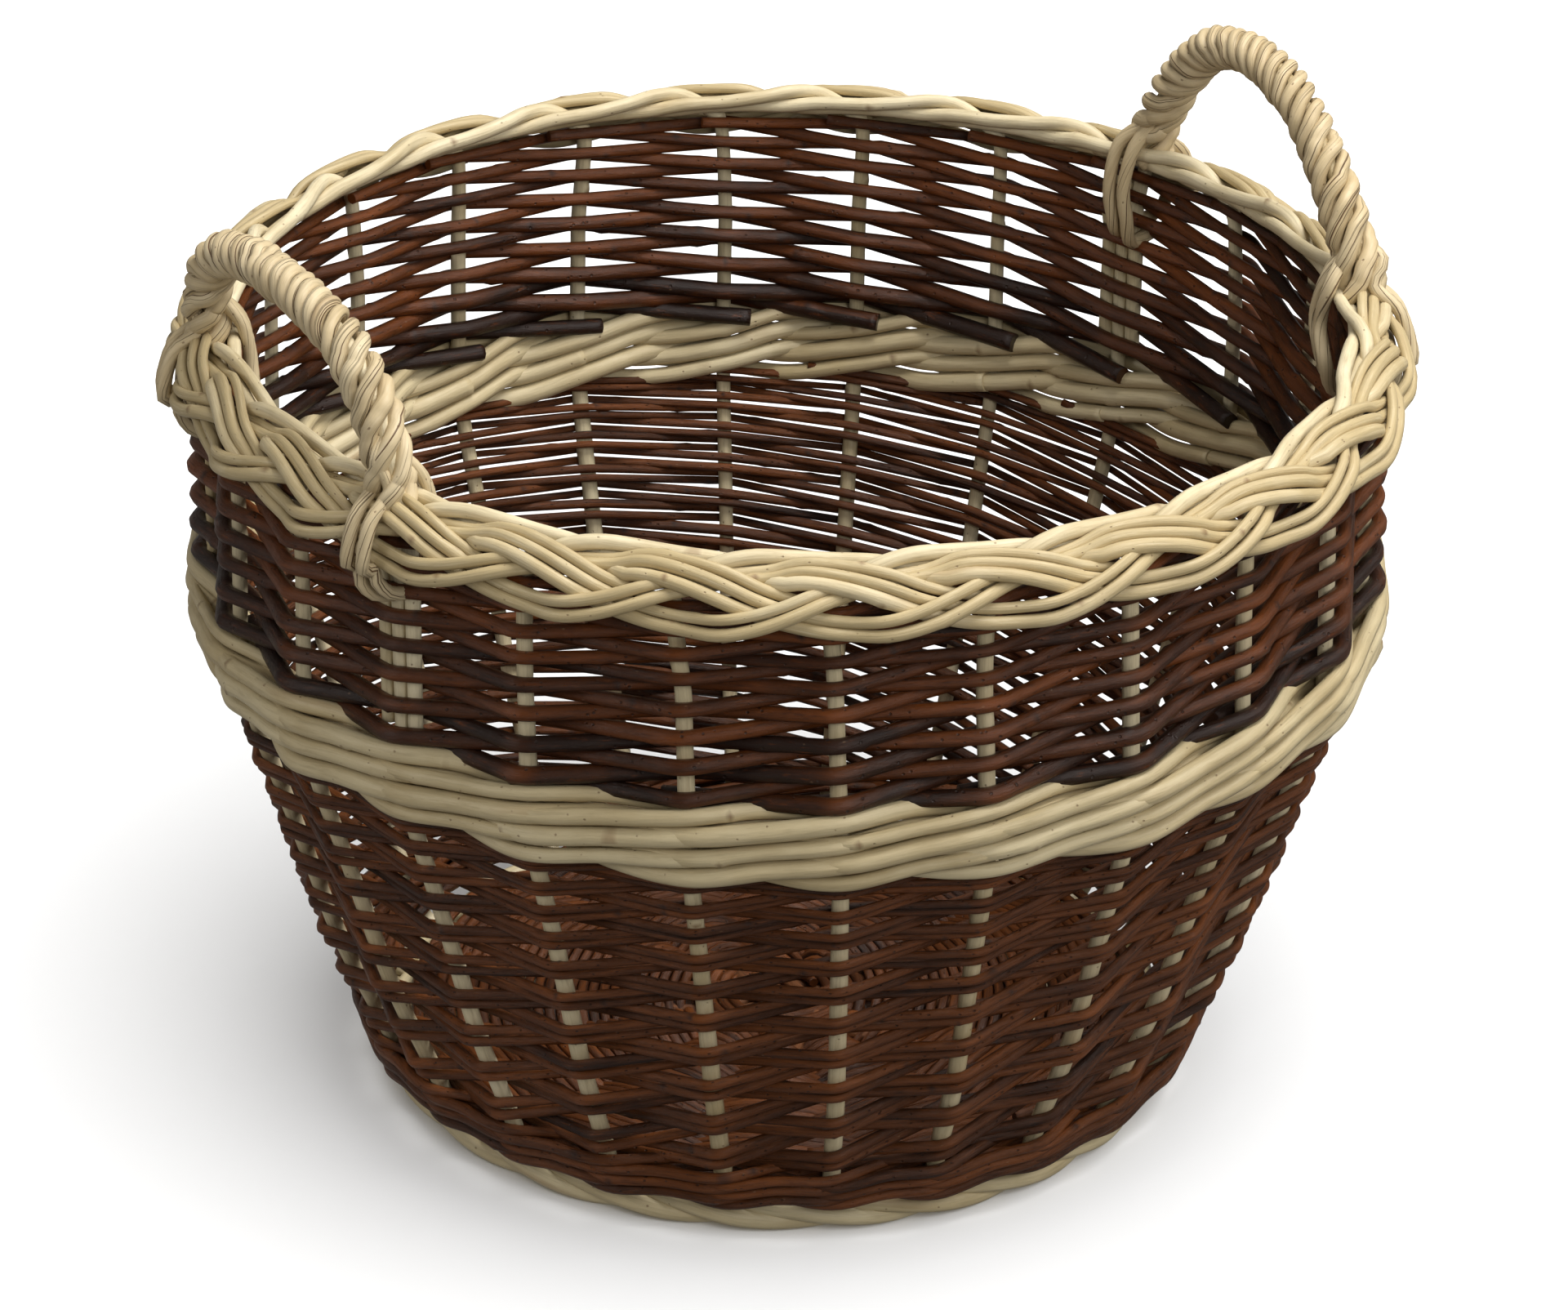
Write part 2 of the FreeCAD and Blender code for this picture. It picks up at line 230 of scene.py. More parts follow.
class Bundle:
    """The rods of one piece, gathered into one mesh."""

    def __init__(self, sides=10):
        self.sides = sides
        self.verts, self.faces, self.marks, self.uvs = [], [], [], []
        self.count = 0

    def add(self, path, radius, buds=0.0, twist=0.0):
        """Add a rod along a path. radius is one value, or several evenly spread from butt to tip.

        buds is the usual distance between the buds on it, and twist turns the rod about its own
        line, in radians for each metre.
        """
        path = np.asarray(path)
        rings, sides = len(path), self.sides
        along = lengths_along(path)
        share = along / along[-1]
        radius = np.atleast_1d(radius)
        width = np.interp(share, np.linspace(0, 1, len(radius)), radius)
        width = width * (1 + wander(rings, 0.03, 0.03))
        turn = np.linspace(0, FULL_TURN, sides, endpoint=False) + any_angle()
        bud = self.buds(along, turn, buds)
        across, up = ring_frames(path)
        wide = width[:, None] * (1 + 0.05 * np.cos(2 * turn)) * (1 + 0.22 * bud)
        turn = turn[None, :, None] + twist * along[:, None, None]
        ring = np.cos(turn) * across[:, None] + np.sin(turn) * up[:, None]
        body = path[:, None] + ring * wide[:, :, None]
        self.verts.append(np.vstack([body.reshape(-1, 3), path[:1], path[-1:]]))
        self.add_faces(rings)
        self.add_uvs(along)
        self.add_marks(share, self.bend(path, along), bud)

    def add_marks(self, share, bend, bud):
        """Note for the material: the rod's own tone, the share along it, its bends and buds."""
        tone = rng.uniform()
        marks = [
            np.full(bud.shape, tone),
            np.broadcast_to(share[:, None], bud.shape),
            np.broadcast_to(bend[:, None], bud.shape),
            bud,
        ]
        ends = [[tone, 0, 0, 0], [tone, 1, 0, 0]]
        self.marks.append(np.vstack([np.stack(marks, -1).reshape(-1, 4), ends]))

    def buds(self, along, turn, spacing):
        """Return how much each point of a rod belongs to a bud, from 0 to 1."""
        bud = np.zeros((len(along), len(turn)))
        place = rng.uniform(0, spacing) if spacing else along[-1]
        while place < along[-1] - 4 * MM:
            ring = int(np.searchsorted(along, place))
            lump = np.clip(np.cos(turn - any_angle()), 0, 1) ** 2
            bud[ring] = lump
            bud[ring - 1] = np.maximum(bud[ring - 1], lump * rng.uniform(0.1, 0.5))
            place += spacing * rng.uniform(0.6, 1.4)
        return bud

    def bend(self, path, along):
        """Return how sharply a rod bends at each ring: 1 at a kink of about 6 mm radius."""
        ways = np.gradient(path, axis=0)
        ways /= np.linalg.norm(ways, axis=1)[:, None]
        turning = np.linalg.norm(np.gradient(ways, axis=0), axis=1) / np.gradient(along)
        return np.clip(np.convolve(turning, (0.25, 0.5, 0.25), "same") * 6 * MM, 0, 1)

    def add_faces(self, rings):
        """Add the faces of a rod: a tube of quads, closed by a fan of triangles at each end."""
        sides, base = self.sides, self.count
        grid = base + np.arange(rings * sides).reshape(rings, sides)
        turned = np.roll(grid, -1, 1)
        quads = np.stack([grid[:-1], turned[:-1], turned[1:], grid[1:]], -1).reshape(-1, 4)
        first = np.full(sides, base + rings * sides)
        caps = np.vstack([
            np.stack([first, turned[0], grid[0]], -1),
            np.stack([first + 1, grid[-1], turned[-1]], -1),
        ])
        self.faces.append((quads, caps))
        self.count += rings * sides + 2

    def add_uvs(self, along):
        """Add texture coordinates: metres along the rod, and turns round it."""
        start = rng.uniform(0, 40)
        v = np.arange(self.sides + 1) / self.sides
        low, high = (start + along[:-1])[:, None], (start + along[1:])[:, None]
        shape = (len(along) - 1, self.sides)
        u = np.stack([np.broadcast_to(side, shape) for side in (low, low, high, high)], -1)
        w = np.stack([np.broadcast_to(side, shape) for side in (v[:-1], v[1:], v[1:], v[:-1])], -1)
        self.uvs.append(np.stack([u, w], -1).reshape(-1, 2))
        self.uvs.append(np.tile([[start - 1.0, 0.5]], (6 * self.sides, 1)))

    def build(self, name, material, slot, *nodes):
        """Make the mesh object with its material and body, and hide the nodes it stands for."""
        mesh = bpy.data.meshes.new(name)
        self.fill(mesh)
        mesh.materials.append(material)
        piece = bpy.data.objects.new(name, mesh)
        bpy.context.scene.collection.objects.link(piece)
        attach(piece, "root")
        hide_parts(*nodes)

    def fill(self, mesh):
        """Give a mesh the rods' points, faces, texture coordinates and marks."""
        verts = np.vstack(self.verts)
        loops, sizes = [], []
        for quads, caps in self.faces:
            loops += [quads.ravel(), caps.ravel()]
            sizes += [np.full(len(quads), 4), np.full(len(caps), 3)]
        loops, sizes = np.concatenate(loops), np.concatenate(sizes)
        mesh.vertices.add(len(verts))
        mesh.vertices.foreach_set("co", verts.ravel())
        mesh.loops.add(len(loops))
        mesh.loops.foreach_set("vertex_index", loops.astype(np.int32))
        mesh.polygons.add(len(sizes))
        mesh.polygons.foreach_set("loop_start", np.r_[0, np.cumsum(sizes)[:-1]].astype(np.int32))
        mesh.polygons.foreach_set("use_smooth", sizes == 4)
        mesh.update(calc_edges=True)
        mesh.uv_layers.new(name="Rod").data.foreach_set("uv", np.vstack(self.uvs).ravel())
        marks = np.vstack(self.marks)
        for column, mark in enumerate(("tone", "share", "bend", "bud")):
            layer = mesh.attributes.new(mark, "FLOAT", "POINT")
            layer.data.foreach_set("value", marks[:, column].astype(np.float32))


# ---------------------------------------------------------------------------------------------
# Materials


class Shader:
    """A small helper that adds nodes to one material."""

    def __init__(self, name):
        self.material = bpy.data.materials.new(name)
        self.material.use_nodes = True
        self.tree = self.material.node_tree
        self.main = self.tree.nodes["Principled BSDF"]

    def link(self, source, socket):
        """Connect an output to an input."""
        self.tree.links.new(source, socket)

    def node(self, kind, **values):
        """Add a node and set its properties."""
        made = self.tree.nodes.new(kind)
        for key, value in values.items():
            setattr(made, key, value)
        return made

    def mark(self, name):
        """Return one of the marks that the rods' meshes carry."""
        return self.node("ShaderNodeAttribute", attribute_name=name).outputs["Fac"]

    def rod_space(self, along, around):
        """Return texture coordinates that run along the rod, scaled each way."""
        uv = self.node("ShaderNodeUVMap", uv_map="Rod")
        scale = self.node("ShaderNodeMapping")
        scale.inputs["Scale"].default_value = (along, around, 1.0)
        self.link(uv.outputs["UV"], scale.inputs["Vector"])
        return scale.outputs["Vector"]

    def object_space(self, size):
        """Return coordinates in the basket's own space, scaled."""
        place = self.node("ShaderNodeTexCoord")
        scale = self.node("ShaderNodeMapping")
        scale.inputs["Scale"].default_value = (size, size, size)
        self.link(place.outputs["Object"], scale.inputs["Vector"])
        return scale.outputs["Vector"]

    def noise(self, space, detail=3.0, rough=0.55):
        """Return cloudy noise from about 0.3 to 0.7, in a space that is already scaled."""
        noise = self.node("ShaderNodeTexNoise")
        noise.inputs["Scale"].default_value = 1.0
        noise.inputs["Detail"].default_value = detail
        noise.inputs["Roughness"].default_value = rough
        self.link(space, noise.inputs["Vector"])
        return noise.outputs["Fac"]

    def spots(self, space, size):
        """Return 1 inside small scattered spots and 0 elsewhere."""
        cells = self.node("ShaderNodeTexVoronoi")
        cells.inputs["Scale"].default_value = 1.0
        self.link(space, cells.inputs["Vector"])
        return self.remap(cells.outputs["Distance"], size, size * 0.5, 0.0, 1.0)

    def remap(self, value, low, high, to_low=0.0, to_high=1.0):
        """Return to_low where value is low, to_high where it is high, and evenly between."""
        ramp = self.node("ShaderNodeMapRange")
        ramp.inputs["From Min"].default_value = low
        ramp.inputs["From Max"].default_value = high
        ramp.inputs["To Min"].default_value = to_low
        ramp.inputs["To Max"].default_value = to_high
        self.link(value, ramp.inputs["Value"])
        return ramp.outputs["Result"]

    def fill(self, socket, value):
        """Give an input a colour, a number or another node's output."""
        if isinstance(value, tuple):
            socket.default_value = (*value, 1.0)
        elif isinstance(value, (int, float)):
            socket.default_value = value
        else:
            self.link(value, socket)

    def math(self, how, first, second):
        """Work out one number from two."""
        made = self.node("ShaderNodeMath", operation=how)
        self.fill(made.inputs[0], first)
        self.fill(made.inputs[1], second)
        return made.outputs["Value"]

    def add(self, first, second):
        """Return the sum of two numbers."""
        return self.math("ADD", first, second)

    def times(self, first, second):
        """Return the product of two numbers."""
        return self.math("MULTIPLY", first, second)

    def mix(self, amount, first, second):
        """Blend from the first colour to the second as amount goes from 0 to 1."""
        made = self.node("ShaderNodeMix", data_type="RGBA", blend_type="MIX")
        # Inputs 0, 6 and 7 are the factor and the two colours, and output 2 is the colour.
        for index, value in ((0, amount), (6, first), (7, second)):
            self.fill(made.inputs[index], value)
        return made.outputs[2]

    def finish(self, colour, rough, height, depth):
        """Connect the colour, the roughness and the height of the bumps."""
        bump = self.node("ShaderNodeBump")
        bump.inputs["Distance"].default_value = depth
        bump.inputs["Strength"].default_value = 1.0
        self.link(height, bump.inputs["Height"])
        self.link(bump.outputs["Normal"], self.main.inputs["Normal"])
        self.link(colour, self.main.inputs["Base Color"])
        self.link(rough, self.main.inputs["Roughness"])
        return self.material


def white_willow(name, pale, deep, crack=0.0, tip_painted_shade=0.0):
    """Make peeled willow: cream, finely grained along the rod, with stains, specks and nodes.

    crack is the strength of the creases along it; the last argument paints shade on the thin half.
    """
    s = Shader(name)
    grain = s.noise(s.rod_space(40, 13), 5.0, 0.68)
    patches = s.noise(s.object_space(30), 4.0)
    blend = s.add(s.times(s.mark("tone"), 0.5), s.remap(patches, 0.35, 0.7, 0.0, 0.5))
    # Painted shade: the thin half of the rod, for the stakes their ends over the border, is
    # deepened against the painted light of the pale wall part.
    blend = s.add(blend, s.remap(s.mark("share"), 0.48, 0.6, 0.0, tip_painted_shade))
    colour = s.mix(blend, pale, deep)
    colour = s.mix(s.remap(grain, 0.50, 0.72, 0.0, 0.5), colour, shade(deep, 0.60))
    colour = s.mix(s.remap(grain, 0.46, 0.30, 0.0, 0.35), colour, shade(pale, 1.12))
    stains = s.noise(s.rod_space(9, 1.5), 3.0)
    colour = s.mix(s.remap(stains, 0.62, 0.76, 0.0, 0.55), colour, (0.34, 0.22, 0.11))
    nodes = s.noise(s.rod_space(32, 0.12), 1.0)
    node = s.remap(nodes, 0.715, 0.745)
    colour = s.mix(s.times(node, 0.45), colour, (0.25, 0.14, 0.065))
    specks = s.spots(s.rod_space(150, 4), 0.10)
    colour = s.mix(s.times(specks, 0.6), colour, (0.16, 0.085, 0.04))
    colour = s.mix(s.remap(s.mark("bud"), 0.45, 0.95, 0.0, 0.7), colour, (0.17, 0.085, 0.035))
    height = s.add(s.times(grain, 0.8), s.times(specks, -0.5))
    height = s.add(height, s.times(node, 0.35))
    if crack:
        lines = s.noise(s.rod_space(7, 20), 2.0, 0.7)
        cracks = s.remap(lines, 0.40, 0.345)
        colour = s.mix(s.times(cracks, crack), colour, (0.12, 0.055, 0.022))
        height = s.add(height, s.times(cracks, -1.5))
    s.main.inputs["Specular IOR Level"].default_value = 0.4
    return s.finish(colour, s.remap(grain, 0.3, 0.7, 0.36, 0.55), height, 0.45 * MM)


def brown_willow(name, red, dark, butt_dark, rough, gloss):
    """Make willow with its bark on: brown with darker flecks, and paler where it kinks.

    butt_dark is how much darker its butt end is, rough is its least roughness, and gloss is how
    strongly it reflects.
    """
    s = Shader(name)
    grain = s.noise(s.rod_space(75, 10), 6.0, 0.74)
    patches = s.noise(s.rod_space(11, 1.2), 4.0)
    blend = s.add(s.times(s.mark("tone"), 0.6), s.remap(patches, 0.36, 0.66, -0.2, 0.5))
    blend = s.add(blend, s.remap(s.mark("share"), 0.0, 0.35, butt_dark, 0.0))
    colour = s.mix(blend, red, dark)
    colour = s.mix(s.remap(grain, 0.50, 0.70, 0.0, 0.75), colour, shade(dark, 0.5))
    colour = s.mix(s.remap(grain, 0.44, 0.28, 0.0, 0.5), colour, shade(red, 1.7))
    scuffed = s.times(s.mark("bend"), s.remap(patches, 0.34, 0.56, 0.75, 0.1))
    colour = s.mix(scuffed, colour, shade(red, 1.9))
    specks = s.spots(s.rod_space(210, 5), 0.17)
    colour = s.mix(s.times(specks, 0.75), colour, (0.020, 0.010, 0.007))
    dust = s.spots(s.rod_space(90, 3), 0.07)
    colour = s.mix(s.times(dust, 0.35), colour, (0.30, 0.19, 0.11))
    colour = s.mix(s.remap(s.mark("bud"), 0.35, 0.9, 0.0, 0.8), colour, (0.022, 0.011, 0.008))
    nodes = s.noise(s.rod_space(30, 0.12), 1.0)
    colour = s.mix(s.remap(nodes, 0.71, 0.74, 0.0, 0.6), colour, (0.03, 0.013, 0.009))
    height = s.add(s.times(grain, 1.0), s.times(specks, -0.5))
    s.main.inputs["Specular IOR Level"].default_value = gloss
    return s.finish(colour, s.remap(grain, 0.3, 0.7, rough, rough + 0.24), height, 0.8 * MM)


def shade(colour, amount):
    """Return a colour made lighter or darker."""
    return tuple(channel * amount for channel in colour)


# The palest cream below, the stakes' colour, carries painted light: the stakes are painted lighter
# than the other peeled willow to make up for the shade they stand in between the rods.
CREAM = (0.78, 0.69, 0.48)
DULL_CREAM = (0.66, 0.565, 0.36)
TAN = (0.68, 0.565, 0.365)
DEEP_CREAM = (0.50, 0.395, 0.215)
DEEP_TAN = (0.51, 0.39, 0.215)
RUSSET = (0.230, 0.085, 0.028)
DULL_RUSSET = (0.070, 0.028, 0.013)
CHESTNUT = (0.158, 0.047, 0.0105)
UMBER = (0.021, 0.0072, 0.0030)
DARK_CHESTNUT = (0.158, 0.043, 0.0080)
NEAR_BLACK = (0.018, 0.0060, 0.0026)


def make_materials():
    """Make the six kinds of willow."""
    return {
        "base": brown_willow("base_willow", RUSSET, DULL_RUSSET, 0.0, 0.40, 0.25),
        # The stakes' willow: painted light in its pale cream for the shaded wall part, and painted
        # shade on its ends over the border.
        "stake": white_willow("stake_willow", CREAM, DEEP_CREAM, tip_painted_shade=0.7),
        "white": white_willow("white_willow", DULL_CREAM, DEEP_CREAM),
        "handle": white_willow("handle_willow", TAN, DEEP_TAN, crack=0.95),
        "brown": brown_willow("brown_willow", CHESTNUT, UMBER, 0.1, 0.26, 0.3),
        "dark": brown_willow("dark_willow", DARK_CHESTNUT, NEAR_BLACK, 0.8, 0.24, 0.36),
    }


# ---------------------------------------------------------------------------------------------
# Weaving


# Rods press a little into the stakes, and lie unevenly up and down and in and out.
PRESSED = 0.93
UNEVEN_RISE = 0.35 * MM
UNEVEN_DEPTH = 0.3 * MM


def randed_rod(first, low, pitches, radius, lift=0.0, bend=6 * MM):
    """Return a French randed rod: behind its first stake, in front of the next, and so on up.

    pitches are its rises from stake to stake, and radius is that of its butt and of its tip.
    lift moves it up or down by that share of a pitch, to lie over or under its partner.
    """
    rows = len(pitches) + 1
    heights = low + np.r_[0, np.cumsum(pitches)]
    heights = heights + lift * np.r_[pitches, pitches[-1]] + rng.normal(0, UNEVEN_RISE, rows)
    width = np.interp(np.arange(rows), [0, rows - 1], radius)
    front = np.arange(rows) % 2 == 1
    gap = STAKE_RADIUS + width * PRESSED
    outward = np.where(front, gap, -gap) + rng.normal(0, UNEVEN_DEPTH, rows)
    points = stake_point(first + np.arange(rows), heights, outward)
    butt = points[0] - (points[1] - points[0]) * rng.uniform(0.10, 0.2)
    tip = points[-1] + (points[-1] - points[-2]) * rng.uniform(0.12, 0.35)
    return bent_path(np.vstack([butt, points, tip]), bend)


def upper_siding(material):
    """Rand single thick rods, one from each stake, from the wale up to the border."""
    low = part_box("upper_siding")[0].z - 2 * MM
    high = BORDER_LOW.z + 22 * MM
    # The rises lessen towards the thin tips, and are scaled to fill the wall.
    pitches = np.r_[5.6, np.linspace(7.1, 5.0, 15)]
    pitches *= (high - low) / pitches.sum()
    bundle = Bundle()
    for first in range(STAKES):
        radius = (rng.normal(3.95, 0.25) * MM, rng.normal(2.35, 0.15) * MM)
        bundle.add(randed_rod(first, low, pitches, radius), radius, buds=0.055)
    bundle.build("upper_siding_rods", material, "dark_willow", "upper_siding")


def lower_siding(material):
    """Rand thinner rods in pairs, one pair from each stake, from the upsett up to the wale."""
    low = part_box("lower_siding")[0].z + 7 * MM
    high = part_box("lower_siding")[1].z - 3.5 * MM
    pitches = np.linspace(11.6, 5.9, 20)
    pitches *= (high - low) / pitches.sum()
    for name, lift, butt, tip in (("under", -0.3, 2.4, 1.5), ("over", 0.3, 2.7, 1.7)):
        bundle = Bundle(8)
        for first in range(STAKES):
            radius = (rng.normal(butt, 0.14) * MM, rng.normal(tip, 0.1) * MM)
            path = randed_rod(first, low, pitches, radius, lift, 4.5 * MM)
            bundle.add(path, radius, buds=0.06)
        bundle.build(f"lower_siding_{name}_rods", material, "brown_willow", "lower_siding")


WALE_STRANDS = 3
WALE_LAPS = range(0, round(1.04 * STAKES), WALE_STRANDS)
WALE_OUTSIDE = 1.5


def wale_rod(first, height, radius, slant):
    """Return a strand of three-rod wale: behind one stake, in front of two, and so on.

    slant is how steeply it crosses the other strands, as a share of their thickness.
    """
    stops = ((0.0, 0.0), (0.5, -0.75), (1.0, -0.55), (1.5, 0.0), (2.0, 0.55), (2.5, 0.75))
    gap = STAKE_RADIUS + radius * 0.95
    points = []
    for lap in WALE_LAPS:
        for onward, rise in stops:
            level = height + rise * slant * 2 * radius + rng.normal(0, 0.25 * MM)
            number, part = divmod(first + lap + onward, 1)
            if part == 0:
                points.append(stake_point(int(number), level, gap if onward else -gap))
            else:
                push = gap + 1.7 * MM if onward == WALE_OUTSIDE else 0.6 * MM
                points.append(between_stakes(int(number), level, push))
    return smooth_path(points)


def between_stakes(number, height, outward):
    """Return a point halfway between two stakes, moved outward."""
    middle = stake_point(number + np.arange(2), height).mean(0)
    return middle + middle * (1, 1, 0) / np.hypot(*middle[:2]) * outward


def wale(name, material, slot, node, heights, radius, slant):
    """Make rounds of three-rod wale, one at each height."""
    bundle = Bundle()
    for number, height in enumerate(heights):
        for strand in range(WALE_STRANDS):
            first = strand + 5 * number
            width = rng.normal(radius, radius * 0.1)
            path = wale_rod(first, height, radius, slant)
            bundle.add(path, (width * 1.12, width * 0.88), buds=0.09)
    bundle.build(name, material, slot, node)


def foot_ring(material):
    """Twist three thick strands into the ring under the wall, one turn in three stakes."""
    radius = 4.2 * MM
    out, lift = 4.6 * MM, 3.6 * MM
    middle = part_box("foot_wale")[1].x - radius - out
    travel = np.arange(0, STAKES * 1.03, 0.09)
    bundle = Bundle(12)
    for strand in range(3):
        turn = FULL_TURN * (strand - travel) / 3 + wander(len(travel), 0.12, 0.04)
        level = radius + 0.5 * MM + lift + lift * np.sin(turn)
        path = round_point(middle + out * np.cos(turn), (strand + travel + 0.5) * BAY, level)
        bundle.add(path, (radius, radius * 0.94), buds=0.2)
    bundle.build("foot_wale_rods", material, "white_willow", "foot_wale")


def upsett(material):
    """Make the brown wale that sets the stakes upright, in three rounds."""
    node = "upsett_wale"
    low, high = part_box(node)
    heights = np.linspace(low.z + 14 * MM, high.z + 5 * MM, 3)
    wale("upsett_wale_rods", material, "brown_willow", node, heights, 2.5 * MM, 0.75)


def middle_wale(material):
    """Make the white wale between the two bands of siding, in three rounds."""
    node = "middle_wale"
    low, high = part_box(node)
    heights = np.linspace(low.z + 2.5 * MM, high.z - 8 * MM, 3)
    wale("middle_wale_rods", material, "white_willow", node, heights, 3.55 * MM, 1.1)


# ---------------------------------------------------------------------------------------------
# Stakes and their plaited ends

# The plait lies on the rounded top of the wall, a part of an ellipse round the basket: MIDDLE
# and FOOT are its centre, WIDE and TALL its half axes, and REACH the angles where the plait ends,
# inside and outside. WIDTH is the plait's width along that curve and PITCH the step between
# stakes. GAP is the step from rod to rod, EDGE the bare strip inside, WAVE the swing up and down.
BORDER_LOW, BORDER_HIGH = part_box("plaited_border")
BORDER_ROD = 2.6 * MM
BORDER_GAP = 5.3 * MM
BORDER_EDGE = 6.5 * MM
BORDER_WAVE = 2.9 * MM
BORDER_REACH = np.radians([102, 4])
BORDER_MIDDLE = TOP_RADIUS - 4.5 * MM
BORDER_WIDE = BORDER_HIGH.x / math.cos(BAY / 2) - BORDER_MIDDLE - BORDER_ROD - BORDER_WAVE
BORDER_FOOT = BORDER_HIGH.z - 31 * MM
BORDER_TALL = BORDER_HIGH.z - BORDER_FOOT - BORDER_ROD - BORDER_WAVE
BORDER_WIDTH = abs(np.ptp(BORDER_REACH)) * (BORDER_WIDE + BORDER_TALL) / 2
BORDER_PITCH = BORDER_MIDDLE * BAY
PLAIT_START = 2.72


def border_point(place, across, proud):
    """Return points on the top of the wall, by stakes round, metres across it and metres off it."""
    place, across, proud = np.broadcast_arrays(place, across, proud)
    turn = BORDER_REACH[0] + (BORDER_REACH[1] - BORDER_REACH[0]) * across / BORDER_WIDTH
    normal = np.stack([np.cos(turn) / BORDER_WIDE, np.sin(turn) / BORDER_TALL], -1)
    normal /= np.linalg.norm(normal, axis=-1)[..., None]
    radius = BORDER_MIDDLE + BORDER_WIDE * np.cos(turn) + proud * normal[..., 0]
    height = BORDER_FOOT + BORDER_TALL * np.sin(turn) + proud * normal[..., 1]
    return round_point(radius, top_angle(place), height)


def top_angle(place):
    """Return the angle of a place at the top of the wall."""
    return (place + 0.5) * BAY - lean(place)


def wall_place(place, outward, above):
    """Return a point by stakes round, metres out from the stakes and metres over the wall."""
    return round_point(TOP_RADIUS + outward, top_angle(place), BORDER_LOW.z + above)


def plait_path(number):
    """Return the route of one stake's end in the three-strand plait.

    It swings from edge to edge. It joins its group of three on the outer side, moves one
    place over in each full swing, and is cut off at the outer edge in its third.
    """
    travel = np.arange(0, 7.25, 0.055)
    middle = (BORDER_WIDTH + BORDER_EDGE) / 2
    swing = (BORDER_WIDTH - BORDER_EDGE) / 2 - BORDER_GAP
    angle = FULL_TURN * travel / 3
    slope = swing * np.sin(angle) * FULL_TURN / 3
    length = np.hypot(BORDER_PITCH, slope)
    turns = [0, 1.0, 1.5, 2.0, 3.0, 4.0, 4.5, 5.0, 6.0, 7.5]
    places = [-1, -1, -0.75, -0.5, 0, 0, 0.25, 0.5, 1, 1]
    shift = np.interp(travel, turns, places) * BORDER_GAP
    wave = np.tanh(2.2 * np.sin(2 * angle)) / math.tanh(2.2)
    along = number + PLAIT_START + travel + shift * slope / length / BORDER_PITCH
    across = middle - swing * np.cos(angle) - shift * BORDER_PITCH / length
    proud = BORDER_WAVE * wave + wander(len(travel), 0.35 * MM, 0.03)
    return border_point(along, across + wander(len(travel), 0.35 * MM, 0.04), proud)


# Where a stake's end goes before it joins the plait, by stakes onward and millimetres: first its
# fold, out from the stakes and up from the border's foot, then its run, across the border and up.
STAKE_FOLD = ((0.0, -0.2, 17), (0.08, -1.0, 25), (0.2, -2.0, 31))
STAKE_RUN = (
    (0.34, 6.5, 1.6), (0.52, 3.5, 2.7), (0.72, 0.3, 1.8), (1.0, -1.5, 0.6), (1.3, -0.8, -0.6),
    (1.55, 1.2, -3.7), (1.85, 2.8, -4.1), (2.15, 4.6, -4.9), (2.36, 7.4, -6.2), (2.55, 11.5, -5.4),
)


def stake_path(number, base_height, root):
    """Return a stake's route: out of the base, up the wall, over and into the plait.

    Its end folds over at the top and runs along the inner edge, first over the ends before it
    and then under the ends after it.
    """
    reach = root + (wall_radius(base_height) - root) * np.array([0, 0.5, 0.9])
    angle = stake_angle(number, base_height)
    flat = round_point(reach, angle, np.full(3, base_height))
    heights = np.r_[base_height + 9 * MM, np.arange(35 * MM, BORDER_LOW.z - 4 * MM, 20 * MM)]
    rise = stake_point(np.full(len(heights), number), heights)
    fold = [wall_place(number + on, out * MM, up * MM) for on, out, up in STAKE_FOLD]
    run = [border_point(number + on, out * MM, up * MM) for on, out, up in STAKE_RUN]
    plait = plait_path(number)
    return np.vstack([smooth_path(np.vstack([flat, rise, fold, run, plait[:1]]))[:-1], plait])


def stakes(material):
    """Make every stake with the end that it gives to the border."""
    base_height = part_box("stake_01")[0].z + STAKE_RADIUS
    points = node_points("stake_01")
    root = float(np.hypot(points[:, 0], points[:, 1]).min())
    for number in range(STAKES):
        bundle = Bundle(12)
        path = stake_path(number, base_height, root)
        radius = (rng.normal(3.8, 0.12) * MM, rng.normal(2.2, 0.12) * MM)
        bundle.add(path, radius, buds=0.13)
        name = f"stake_{number + 1:02d}"
        bundle.build(f"{name}_rod", material, "stake_willow", name, "plaited_border")


# ---------------------------------------------------------------------------------------------
# Base

STICK_RADIUS = 4.1 * MM
STICK_SPACING = 8.5 * MM
SLATH_REACH = 40 * MM
PAIRING_STEP = 4.9 * MM


def base_sticks(material, middle):
    """Make three sticks across, and three that are split to pass over and under them."""
    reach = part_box("through_stick_2")[1].x
    groups = {
        "through": ((0, (STICK_RADIUS, STICK_RADIUS * 0.94)),),
        "split": ((-1, STICK_RADIUS * 0.74), (1, STICK_RADIUS * 0.74)),
    }
    for group, halves in groups.items():
        for number in (1, 2, 3):
            name = f"{group}_stick_{number}"
            bundle = Bundle(12)
            for way, radius in halves:
                path = stick_path(number - 2, reach, middle, way)
                bundle.add(turned(path) if way else path, radius)
            bundle.build(f"{name}_rod", material, "base_willow", name)


